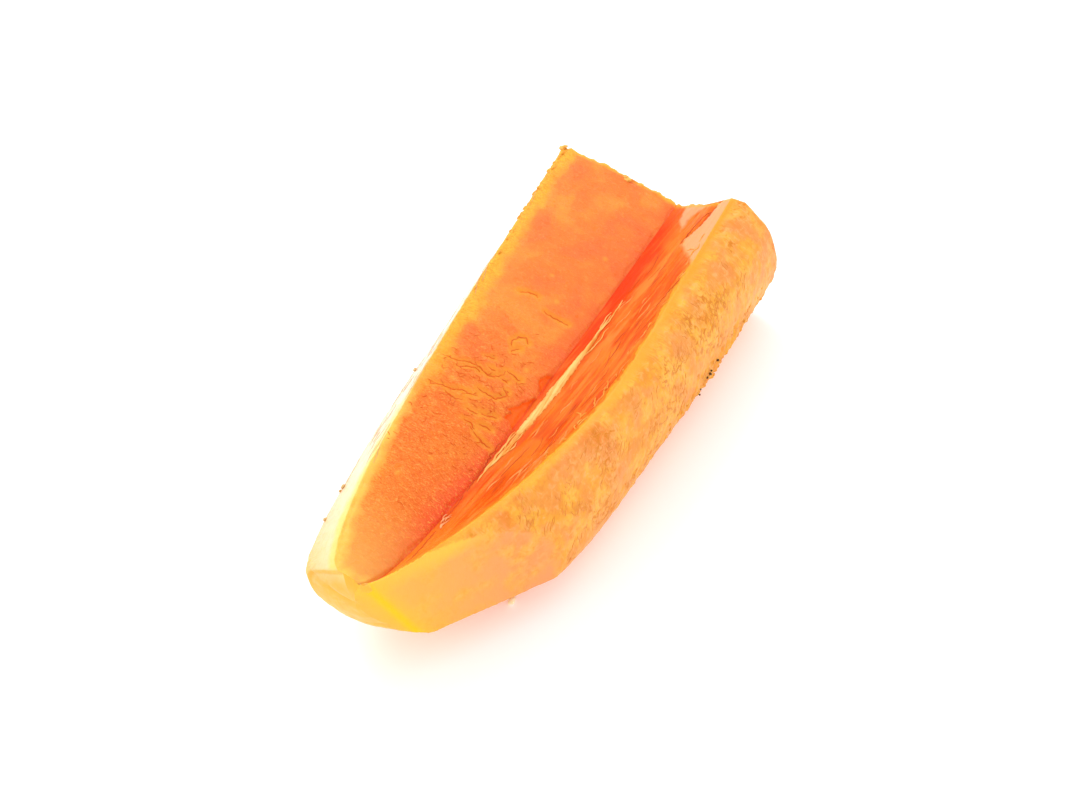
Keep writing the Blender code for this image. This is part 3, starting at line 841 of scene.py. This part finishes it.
def closeTube(rings):
    # points and faces of a tube through the rings, closed at both ends
    count, size = rings.shape[:2]
    tubeFaces = []
    for i in range(count - 1):
        for j in range(size):
            near, far, k = i * size, (i + 1) * size, (j + 1) % size
            tubeFaces.append((near + j, far + j, far + k, near + k))
    tubeFaces += [tuple(range(size)), tuple(range((count - 1) * size, count * size))[::-1]]
    return rings.reshape(-1, 3), tubeFaces


def layStrip(centres, widths, thickness, grain, acrossCount):
    # A limp strip that lies along the wedge and bridges its hollows. centres are (x, y) in mm.
    # grain is how far its fibres stand up and how far apart they are.
    fibreLength, fullFrom, sunk = 14, 1.2, 0.35      # a strip narrower than fullFrom is thinner as well
    rings = []
    for i, ((x, y), width) in enumerate(zip(centres, widths)):
        ahead = np.subtract(centres[min(i + 1, len(centres) - 1)], centres[max(i - 1, 0)])
        side = np.array((-ahead[1], ahead[0])) / np.linalg.norm(ahead)
        shares = np.linspace(-1, 1, acrossCount)
        spots = np.array((x, y)) + side * shares[:, None] * width / 2
        ground = np.array([groundAt(*spot)[0][2] for spot in spots])
        bridge = np.maximum(ground, ground[0] + (ground[-1] - ground[0]) * (shares + 1) / 2)
        fibres = [noise.noise(Vector((x / fibreLength, share * width / grain[1], 3.3))) for share in shares]
        full = thickness * min(1.0, width / fullFrom) * (1 - np.abs(shares) ** 3)
        top = bridge + full + grain[0] * np.array(fibres) * (1 - shares ** 4)
        underside = np.column_stack([spots, ground - sunk])
        rings.append(np.vstack([np.column_stack([spots, top]), underside[::-1]]))
    return closeTube(np.array(rings))


def layThread(path, radius, lift=0.6):
    # a round thread lying on the wedge, thinner towards both ends; lift is in shares of its radius
    turns = np.linspace(0, 2 * pi, 7)[:-1]
    tipShare = 0.35      # of its thickness
    last = len(path) - 1
    rings = []
    for i, (spot, normal) in enumerate(path):
        side = np.cross(normal, path[min(i + 1, last)][0] - path[max(i - 1, 0)][0])
        side /= np.linalg.norm(side) + 1e-9
        thick = radius * (tipShare + (1 - tipShare) * abs(sin(pi * i / last)) ** 0.5)
        middle = spot + lift * thick * normal
        rings.append([middle + thick * (cos(turn) * side + sin(turn) * normal) for turn in turns])
    return closeTube(np.array(rings))


def curlThread(start, heading, piece, bend=0.0):
    # a thread that curls over the wedge, as long, thick and curly as the piece's dictionary says
    path = wander(start, heading, random.uniform(*piece["length"]), piece["curl"], bend)
    return layThread(path, random.uniform(*piece["radius"]), piece["lift"])


def makeCrumb(middle, size, seed):
    # a small torn lump; size is its length along x, y and z
    lump = bmesh.new()
    bmesh.ops.create_icosphere(lump, subdivisions=2, radius=0.5)
    points = np.array([vertex.co[:] for vertex in lump.verts])
    lumpFaces = [tuple(vertex.index for vertex in face.verts) for face in lump.faces]
    lump.free()
    bumps = grainAt(points, grains["crumb"][0], grains["crumb"][1], seed)
    return np.array(middle) + points * (1 + 0.45 * bumps[:, None]) * np.array(size), lumpFaces


def wallSpot(piece):
    # A chance (x, y) on the cavity wall, with margins kept free beside the ridge and the groove.
    # A crowding above 1 brings it closer to the ridge.
    x = random.uniform(*piece["reach"])
    ridgeY, grooveY = (np.interp(x, line[:, 0], line[:, 1]) for line in (ridgeLine, grooveLine))
    room = grooveY - ridgeY - sum(piece["margins"])
    return x, ridgeY + piece["margins"][0] + room * random.uniform(0, 1) ** piece["crowding"]


def flankPoints(*tests):
    # numbers of the peeled points that pass every test
    return np.flatnonzero(np.all([columnKinds == "flank", *tests], axis=0))


def between(values, limits):
    return (values > limits[0]) & (values < limits[1])


def addPiece(name, parts, material):
    # one object made of many small parts, each with its points and faces
    points, pieceFaces, count = [], [], 0
    for partPoints, partFaces in parts:
        points.append(partPoints)
        pieceFaces += [tuple(corner + count for corner in corners) for corners in partFaces]
        count += len(partPoints)
    mesh = bpy.data.meshes.new(name)
    mesh.from_pydata((np.vstack(points) + shift) * mm, [], pieceFaces)
    mesh.materials.append(material)
    mesh.polygons.foreach_set("use_smooth", [True] * len(pieceFaces))
    mesh.update()
    sorter = bmesh.new()
    sorter.from_mesh(mesh)
    bmesh.ops.recalc_face_normals(sorter, faces=sorter.faces)
    sorter.to_mesh(mesh)
    sorter.free()
    piece = putInScene(name, mesh)
    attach(piece, "root")


def smallFlesh(name, pale, deep, grainSize):
    # Thin torn flesh, too thin to scatter light inside but with the same wet gloss. Its colour runs
    # from pale to deep along fibres of grainSize, in mm along x, y and z.
    material, add, coords = startFlesh(name, subsurface=0.0)
    place = add("ShaderNodeMapping", {"Scale": perMm(*grainSize)}, {"Vector": coords}).outputs[0]
    fibre = add("ShaderNodeTexNoise", {"Scale": 1.0, "Detail": 3.0}, {"Vector": place}).outputs["Fac"]
    colour = add("ShaderNodeValToRGB", {"stops": [(0.38, deep), (0.6, pale)]}, {"Fac": fibre})
    return endFlesh(material, add, colour.outputs["Color"], fibre, 0.6, 0.2)


# "flesh" in a piece's dictionary is its material's name, pale colour, deep colour, and grain in mm

print("Laying the strand of seed fibre in the groove")
strand = {
    "reach": (66, 137),       # mm from the nose tip
    "bend": (57.8, 78.7),     # where it starts to bend to the right, and over what length
    "across": (-0.2, 7.4),    # y where the bend starts, and how far it goes to the right
    "widths": ((66, 0.35), (69, 0.9), (72, 0.8), (75.5, 1.5), (77, 1.2), (78.2, 3.4), (79.5, 2.9), (81, 3.9),
               (84, 3.6), (87, 4.2), (92, 4.0), (97, 4.3), (101, 3.9), (106, 3.5), (110, 3.1), (116, 2.5),
               (121, 1.9), (127, 1.3), (132, 0.8), (137, 0.3)),      # x, width
    "slimness": 0.8,
    "raggedness": 0.3,        # how unevenly wide it is, as a share of its width
    "raggedPitch": 0.9,
    "waver": 0.22,
    "waverPitch": 2.2,
    "thickness": 0.75,
    "grain": (0.35, 0.7),
    "pointsAcross": 15,
    # dried seed fibre holds little juice, so it is paler than the flesh
    "flesh": ("paleSeedStrandFibre", "#F0C070", "#E89A42", (12, 0.8, 0.8)),
}


def strandMiddle(x):
    # y of the middle of the strand
    share = np.clip((x - strand["bend"][0]) / strand["bend"][1], 0, 1)
    return strand["across"][0] - strand["across"][1] * (1 - (1 - share) ** 1.6)


strandX = np.arange(*strand["reach"], pathStep)
strandWide = strand["slimness"] * np.interp(strandX, *np.transpose(strand["widths"]))
strandWide *= 1 + strand["raggedness"] * unevenness(strandX, strand["raggedPitch"], 0.5)
strandY = strandMiddle(strandX) + strand["waver"] * unevenness(strandX, strand["waverPitch"], 7.5)
paleStrand = smallFlesh(*strand["flesh"])
strandStrip = layStrip(np.column_stack([strandX, strandY]), strandWide, strand["thickness"],
                       strand["grain"], strand["pointsAcross"])
addPiece("seedStrand", [strandStrip], paleStrand)

# Threads that fray off both ends of the strand. Real ones are down to 0.1 mm across, too fine to show,
# so these are as coarse as they need to be.
threads = {
    "runs": ((57, 79, 0.9, 0.3), (60, 77, -0.5, 0.34), (63, 80, -1.3, 0.26), (55, 67, 0.2, 0.22),
             (70, 79, 1.8, 0.22), (66, 74, -2.0, 0.2), (124, 146, -0.9, 0.24), (112, 131, -2.2, 0.2),
             (128, 139, 1.0, 0.2)),      # from x, to x, sideways from the strand, radius
    "waver": 0.5,
    "waverPitch": 3,
}
strandThreads = []
for start, end, aside, radius in threads["runs"]:
    xs = np.arange(start, end, 0.6)
    ys = strandMiddle(xs) + aside * np.sin(pi * (xs - start) / (end - start) / 1.4)
    ys += threads["waver"] * unevenness(xs, threads["waverPitch"], aside, radius * 9)
    strandThreads.append(layThread([groundAt(x, y) for x, y in zip(xs, ys)], radius))
addPiece("strandThreads", strandThreads, paleStrand)

# A tuft of the same fibre lower in the groove, stained by the flesh around it
tuft = {
    "count": 8,
    "corner": (33.6, 1.6),    # x, y
    "spread": (4.0, 1.4),
    "heading": (-40, 50),     # degrees
    "length": (2.2, 5.0),
    "radius": (0.14, 0.28),
    "lift": 0.9,
    "flesh": ("paleTornFibre", "#F2AE78", "#E87C44", (2, 0.8, 0.8)),
}
tuftThreads = []
for turn in range(tuft["count"]):
    heading = radians(random.uniform(*tuft["heading"]))
    reach = random.uniform(*tuft["length"])
    start = np.array((tuft["corner"][0] + random.uniform(0, tuft["spread"][0]),
                      tuft["corner"][1] - random.uniform(0, tuft["spread"][1])))
    steps = np.linspace(0, 1, 8)[:, None]
    path = start + steps * reach * np.array((cos(heading), sin(heading) * 0.5))
    path[:, 1] += 0.5 * np.sin(steps[:, 0] * random.uniform(2, 6))
    radius = random.uniform(*tuft["radius"])
    tuftThreads.append(layThread([groundAt(x, y) for x, y in path], radius, tuft["lift"]))
addPiece("grooveTuft", tuftThreads, smallFlesh(*tuft["flesh"]))

print("Loosening slivers and shreds of the cavity wall")
# Loosened slivers, most of them along the foot of the ridge
slivers = {
    "count": 34,
    "reach": (52, 168),       # mm from the nose tip
    "margins": (2.2, 2.8),
    "crowding": 2.2,
    "length": (4, 11),
    "lean": (-0.2, -0.06),
    "width": (0.3, 0.65),
    "thickness": (0.15, 0.3),
    "grain": (0.1, 0.4),
    "pointsAcross": 6,
    # light comes through their thin edges, so they are lighter than the wall
    "flesh": ("looseCavityFlesh", "#EA9048", "#E06C26", (6, 0.7, 0.7)),
}
looseSlivers = []
for turn in range(slivers["count"]):
    x, y = wallSpot(slivers)
    reach, lean, wide = (random.uniform(*slivers[key]) for key in ("length", "lean", "width"))
    steps = np.linspace(-0.5, 0.5, 12)
    path = np.column_stack([x + steps * reach, y + steps * reach * lean + 0.25 * np.sin(steps * 7 + turn)])
    widths = wide * np.clip(1 - (2 * steps) ** 2, 0.12, 1) ** 0.7
    looseSlivers.append(layStrip(path, widths, random.uniform(*slivers["thickness"]), slivers["grain"],
                                 slivers["pointsAcross"]))
addPiece("wallSlivers", looseSlivers, smallFlesh(*slivers["flesh"]))

# Shreds that curl along the foot of the ridge
shreds = {
    "count": 26,
    "reach": (60, 178),
    "fromRidge": (1.2, 3.6),
    "heading": (1, -0.1, 0),
    "length": (2, 6),
    "curl": 0.3,
    "radius": (0.14, 0.3),
    "lift": 0.3,
    # the yellower flesh of the rim, a little dried
    "flesh": ("ochreTornFibre", "#ECA84C", "#DE8A2C", (2, 0.8, 0.8)),
}
ridgeShreds = []
for turn in range(shreds["count"]):
    x = random.uniform(*shreds["reach"])
    y = np.interp(x, ridgeLine[:, 0], ridgeLine[:, 1]) + random.uniform(*shreds["fromRidge"])
    ridgeShreds.append(curlThread(groundAt(x, y)[0] + shift, shreds["heading"], shreds))
addPiece("ridgeFootShreds", ridgeShreds, smallFlesh(*shreds["flesh"]))

print("Cracking the cut face and folding the cavity wall")
# Cracks across the cut face, with short curls of dark fibre around them. The real curls are finer than
# the render shows, so these are as coarse as they need to be.
cracks = {
    "crackRadius": 0.25,
    "crackLift": -0.2,
    "waver": 0.6,
    "count": 130,
    "closest": 81,            # x where the curls stand closest
    "spread": 15,
    "across": (3, 28),        # y
    "above": 35,              # z, so that there are none where the nose slopes down
    "sway": 0.35,             # how far their headings differ
    "length": (1.2, 4),
    "curl": 0.35,
    "radius": (0.1, 0.19),
    "lift": -0.1,
    # juice gathers in them, so they are a deeper orange
    "flesh": ("darkCutFibre", "#E0681C", "#D65812", (2, 2, 2)),
}
cuts = [layThread(trace(path, cracks["waver"]), cracks["crackRadius"], cracks["crackLift"])
        for path in crackPaths]
for turn in range(cracks["count"]):
    x, y = random.normal(cracks["closest"], cracks["spread"]), random.uniform(*cracks["across"])
    spot = groundAt(x, y)[0]
    if spot[2] > cracks["above"]:
        cuts.append(curlThread(spot + shift, (random.normal(0, cracks["sway"]), -1, 0), cracks))
addPiece("faceCracks", cuts, smallFlesh(*cracks["flesh"]))

# Dark lines painted as shade along the torn seam in the groove, the edge of the leaf and the foot of the
# ridge, and dark folds along the wall
folds = {
    "shadedSeams": (                # radius, then (x, y) along the seam
        (0.22, [(72.2, 0.4), (66.5, 0.9), (60.2, 0.6), (54.0, 1.0), (50.5, 0.9)]),
        (0.2, [(49.2, 1.2), (45.1, 1.0), (41, 1.3), (36.5, 1.4)]),
        (0.18, [(33, 1.6), (28, 1.8), (23, 2.0), (18, 2.4)]),
        (0.22, [(195.7, -20.2), (192.3, -18.6), (187.4, -17.5), (182.4, -16.5), (176.7, -15.8)]),
        (0.2, [(159.3, -24.4), (152.8, -24.1), (148.9, -22.9), (143.7, -22.1), (138.6, -21.4)])),
    "seamLift": -0.1,
    "waver": 0.5,
    "count": 26,
    "reach": (50, 165),
    "margins": (2.5, 4.0),
    "crowding": 1.0,
    "heading": (1, -0.14, 0),
    "length": (5, 15),
    "curl": 0.04,
    "radius": (0.1, 0.17),
    "lift": -0.2,
    # the inside of a fold sees little light, so it is a dark red-orange
    "flesh": ("darkCavityFold", "#D04E10", "#BE420C", (4, 2, 2)),
}
darkFolds = [layThread(trace(path, folds["waver"]), radius, folds["seamLift"])
             for radius, path in folds["shadedSeams"]]
for turn in range(folds["count"]):
    darkFolds.append(curlThread(groundAt(*wallSpot(folds))[0] + shift, folds["heading"], folds))
addPiece("wallFolds", darkFolds, smallFlesh(*folds["flesh"]))

print("Drawing the veins and fibres of the peeled sides")
# Short veins that curl down the peeled side in small rows. The real ones are as fine as hair and show
# as an even shading, so these are fewer and as coarse as they need to be.
veins = {
    "rows": 105,
    "reach": (38, 175),
    "inRow": (2, 10),
    "apart": 0.95,
    "scatter": 0.8,
    "headingX": (-1.3, 0.2),
    "headingYZ": (-0.6, -0.6),
    "bend": 0.12,             # how far the rows differ in how they bend
    "length": (1.2, 4.2),
    "curl": 0.16,
    "radius": (0.1, 0.17),
    "lift": -0.1,
    # veins hold more juice than the flesh around them, so they are a little darker
    "flesh": ("peeledSideVein", "#E6923C", "#DC8230", (2, 2, 2)),
}
rightSide = flankPoints(normals[:, 1] < -0.1, z > 4, planedMarks == 0,
                        between(places[:, 0], veins["reach"]))
sideVeins = []
for start in random.choice(rightSide, veins["rows"], replace=False):
    heading = (random.uniform(*veins["headingX"]), *veins["headingYZ"])
    bend = random.normal(0, veins["bend"])
    for beside in range(random.integers(*veins["inRow"])):
        scatter = [random.normal(0, veins["scatter"]) for axis in "yz"]
        spot = settled[start] + (veins["apart"] * beside, *scatter)
        sideVeins.append(curlThread(spot, heading, veins, bend))
addPiece("flankVeins", sideVeins, smallFlesh(*veins["flesh"]))

# Long fibres on the side away from the seeds
sideFibres = {
    "count": 60,
    "fromX": 45,
    "fromRim": 13,            # mm below the rim
    "heading": (-1, 0.05, 0.02),
    "length": (5, 16),
    "curl": 0.05,
    "radius": (0.08, 0.14),
    "lift": 0.1,
    # the side there is painted almost white as a highlight, so they are painted pale as well
    "flesh": ("faintSideFibre", "#D8B080", "#C89A66", (2, 2, 2)),
}
leftSide = flankPoints(normals[:, 1] > 0.3, fromEdge < sideFibres["fromRim"],
                       places[:, 0] > sideFibres["fromX"])
longFibres = []
for start in random.choice(leftSide, sideFibres["count"], replace=False):
    longFibres.append(curlThread(settled[start], sideFibres["heading"], sideFibres))
addPiece("sideFibres", longFibres, smallFlesh(*sideFibres["flesh"]))

print("Scattering torn bits, crumbs and specks")
# Torn bits that roughen the left rim, the far corner and the foot of the right side
bits = {
    "rimCount": 46,
    "rimSpread": 42,          # mm back from the far cut
    "rimSize": (2.2, 0.8, 0.6),
    "lowCount": 44,
    "lowReach": (112, 190),
    "lowHeights": (8, 24),    # z
    "lowSize": (1.5, 0.9, 1.1),
    "sizeShare": (0.5, 1.2),
    # the yellow flesh from just under the peel
    "flesh": ("tornRimFlesh", "#ECAA40", "#DC8C26", (1.5, 1.5, 1.5)),
}
rimLine = rows[:, firstColumn["flank"]]
tornBits = []
for turn in range(bits["rimCount"]):
    x = wedge["length"] - abs(random.normal(0, bits["rimSpread"]))
    y, height = (np.interp(x, rimLine[:, 0], rimLine[:, k]) for k in (1, 2))
    spot = (x, y - random.uniform(-0.3, 1.2), height - random.uniform(-0.1, 0.5))
    tornBits.append(makeCrumb(spot, np.array(bits["rimSize"]) * random.uniform(*bits["sizeShare"]), turn))
lowSide = flankPoints(normals[:, 1] < -0.5, between(z, bits["lowHeights"]),
                      between(places[:, 0], bits["lowReach"]))
for start in random.choice(lowSide, bits["lowCount"], replace=False):
    size = np.array(bits["lowSize"]) * random.uniform(*bits["sizeShare"])
    tornBits.append(makeCrumb(settled[start] - shift, size, start % 97))
addPiece("tornRimBits", tornBits, smallFlesh(*bits["flesh"]))

# Ragged bits left at the far cut: on the corner of the cut face and beside the notch in its edge
tags = {
    "lumps": (                # middle, size, seed of its shape
        ((198.9, 38.0, 48.9), (2.6, 2.2, 1.3), 1.2), ((199.6, 37.0, 49.3), (1.7, 1.6, 0.9), 4.4),
        ((198.4, 12.4, 43.6), (2.0, 3.0, 1.0), 7.7), ((198.9, 13.6, 44.0), (1.4, 1.6, 0.9), 2.5)),
    "flesh": ("paleTornEdge", "#EEB45C", "#E29634", (1.2, 1.2, 1.2)),      # thin, so light comes through
}
addPiece("cutEdgeTags", [makeCrumb(*lump) for lump in tags["lumps"]], smallFlesh(*tags["flesh"]))

# Crumbs of flesh on the left side
crumbs = {
    "lumps": (((37.0, 33.8, 38.2), (1.7, 1.0, 1.2), 0.4), ((36.0, 34.0, 37.0), (0.9, 0.7, 0.8), 5.1),
              ((25.1, 33.0, 36.8), (1.4, 1.0, 1.3), 3.3), ((86.0, 37.9, 41.0), (1.5, 1.1, 1.3), 6.2)),
    "flesh": ("driedFleshCrumb", "#DDBB84", "#C69A58", (0.8, 0.8, 0.8)),      # dry, so dull and brownish
}
addPiece("sideCrumbs", [makeCrumb(seatOn(place), size, seed) for place, size, seed in crumbs["lumps"]],
         smallFlesh(*crumbs["flesh"]))

# Specks low on the right side, scraps of seed skin
specks = {
    "places": ((144.5, -40.5, 18.7), (143.6, -40.3, 17.4), (145.2, -40.6, 19.4), (139.9, -39.2, 12.6),
               (140.6, -39.5, 13.8), (149.5, -41.0, 21.0), (137.6, -38.2, 9.8)),
    "size": (0.5, 1.1),
    "flesh": ("darkFruitSpeck", "#6B4526", "#3A2615", (0.5, 0.5, 0.5)),      # nearly black, as the seeds are
}
addPiece("darkSpecks", [makeCrumb(seatOn(place), [random.uniform(*specks["size"])] * 3, seed)
                        for seed, place in enumerate(specks["places"])], smallFlesh(*specks["flesh"]))

# A shred of pulp that has dropped beside the nose
fallen = {
    "lumps": (((45.3, -15.6, 1.15), (3.2, 2.0, 1.6), 8.8), ((46.6, -15.1, 0.9), (1.8, 1.3, 1.2), 2.2)),
    "flesh": ("palePulpShred", "#FFF8D8", "#FFF0B4", (0.9, 0.9, 0.9)),      # watery, so nearly white
}
addPiece("fallenShred", [makeCrumb(*lump) for lump in fallen["lumps"]], smallFlesh(*fallen["flesh"]))


print("Setting the floor, light and camera")
floor = {
    "halfSize": 3,            # metres
    "colour": "#F8F8F8",
    "roughness": 0.6,
    "glowColour": "#FFCCD6",  # a little warm light of its own
    "glow": 0.2,
}
half = floor["halfSize"]
floorMesh = bpy.data.meshes.new("paleTable")
floorMesh.from_pydata([(-half, -half, 0), (half, -half, 0), (half, half, 0), (-half, half, 0)],
                      [], [(0, 1, 2, 3)])
floorPiece = putInScene("paleTable", floorMesh)
tableTop = bpy.data.materials.new("whiteTableTop")
tableTop.use_nodes = True
tableShader = tableTop.node_tree.nodes["Principled BSDF"]
for socket, value in (("Base Color", srgb(floor["colour"])), ("Roughness", floor["roughness"]),
                      ("Emission Color", srgb(floor["glowColour"])), ("Emission Strength", floor["glow"])):
    tableShader.inputs[socket].default_value = value
floorMesh.materials.append(tableTop)

studio = {
    "fill": 1.22,             # even white light from all round
    "keyPower": 4.5,
    "keySize": 0.6,
    "keyFrom": (0.42, 0.62, 0.8),      # behind the far cut and the rim of the wide cut face
    "keyDistance": 1.1,
}
world = bpy.data.worlds.new("softStudio")
world.use_nodes = True
background = world.node_tree.nodes["Background"]
background.inputs["Color"].default_value = (1.0, 1.0, 1.0, 1.0)
background.inputs["Strength"].default_value = studio["fill"]
bpy.context.scene.world = world

keyLight = bpy.data.lights.new("bigSoftbox", "AREA")
keyLight.energy = studio["keyPower"]
keyLight.size = studio["keySize"]
keyPiece = putInScene("bigSoftbox", keyLight)
keyPiece.location = Vector(studio["keyFrom"]).normalized() * studio["keyDistance"]
keyPiece.rotation_euler = Vector(studio["keyFrom"]).to_track_quat("Z", "Y").to_euler()

# The photograph is 1080 x 790 and looks down on the wedge from the right of its nose
view = {
    "heading": 64.96,         # degrees from straight across the wedge towards its far cut
    "down": 46.0,
    "distance": 468.0,        # mm
    "lens": 50.0,
    "sensor": 36.0,
    "target": (99.0, 0.0, 33.3),
}
heading, down = radians(view["heading"]), radians(view["down"])
looking = Vector((sin(heading) * cos(down), cos(heading) * cos(down), -sin(down)))
camera = bpy.data.cameras.new("camera")
camera.lens = view["lens"]
camera.sensor_width = view["sensor"]
camera.sensor_fit = "HORIZONTAL"
cameraPiece = putInScene("camera", camera)
target = Vector(np.array(view["target"]) + shift)
cameraPiece.location = (target - looking * view["distance"]) * mm
cameraPiece.rotation_euler = looking.to_track_quat("-Z", "Y").to_euler()
bpy.context.scene.camera = cameraPiece
bpy.context.scene.view_settings.view_transform = "Standard"
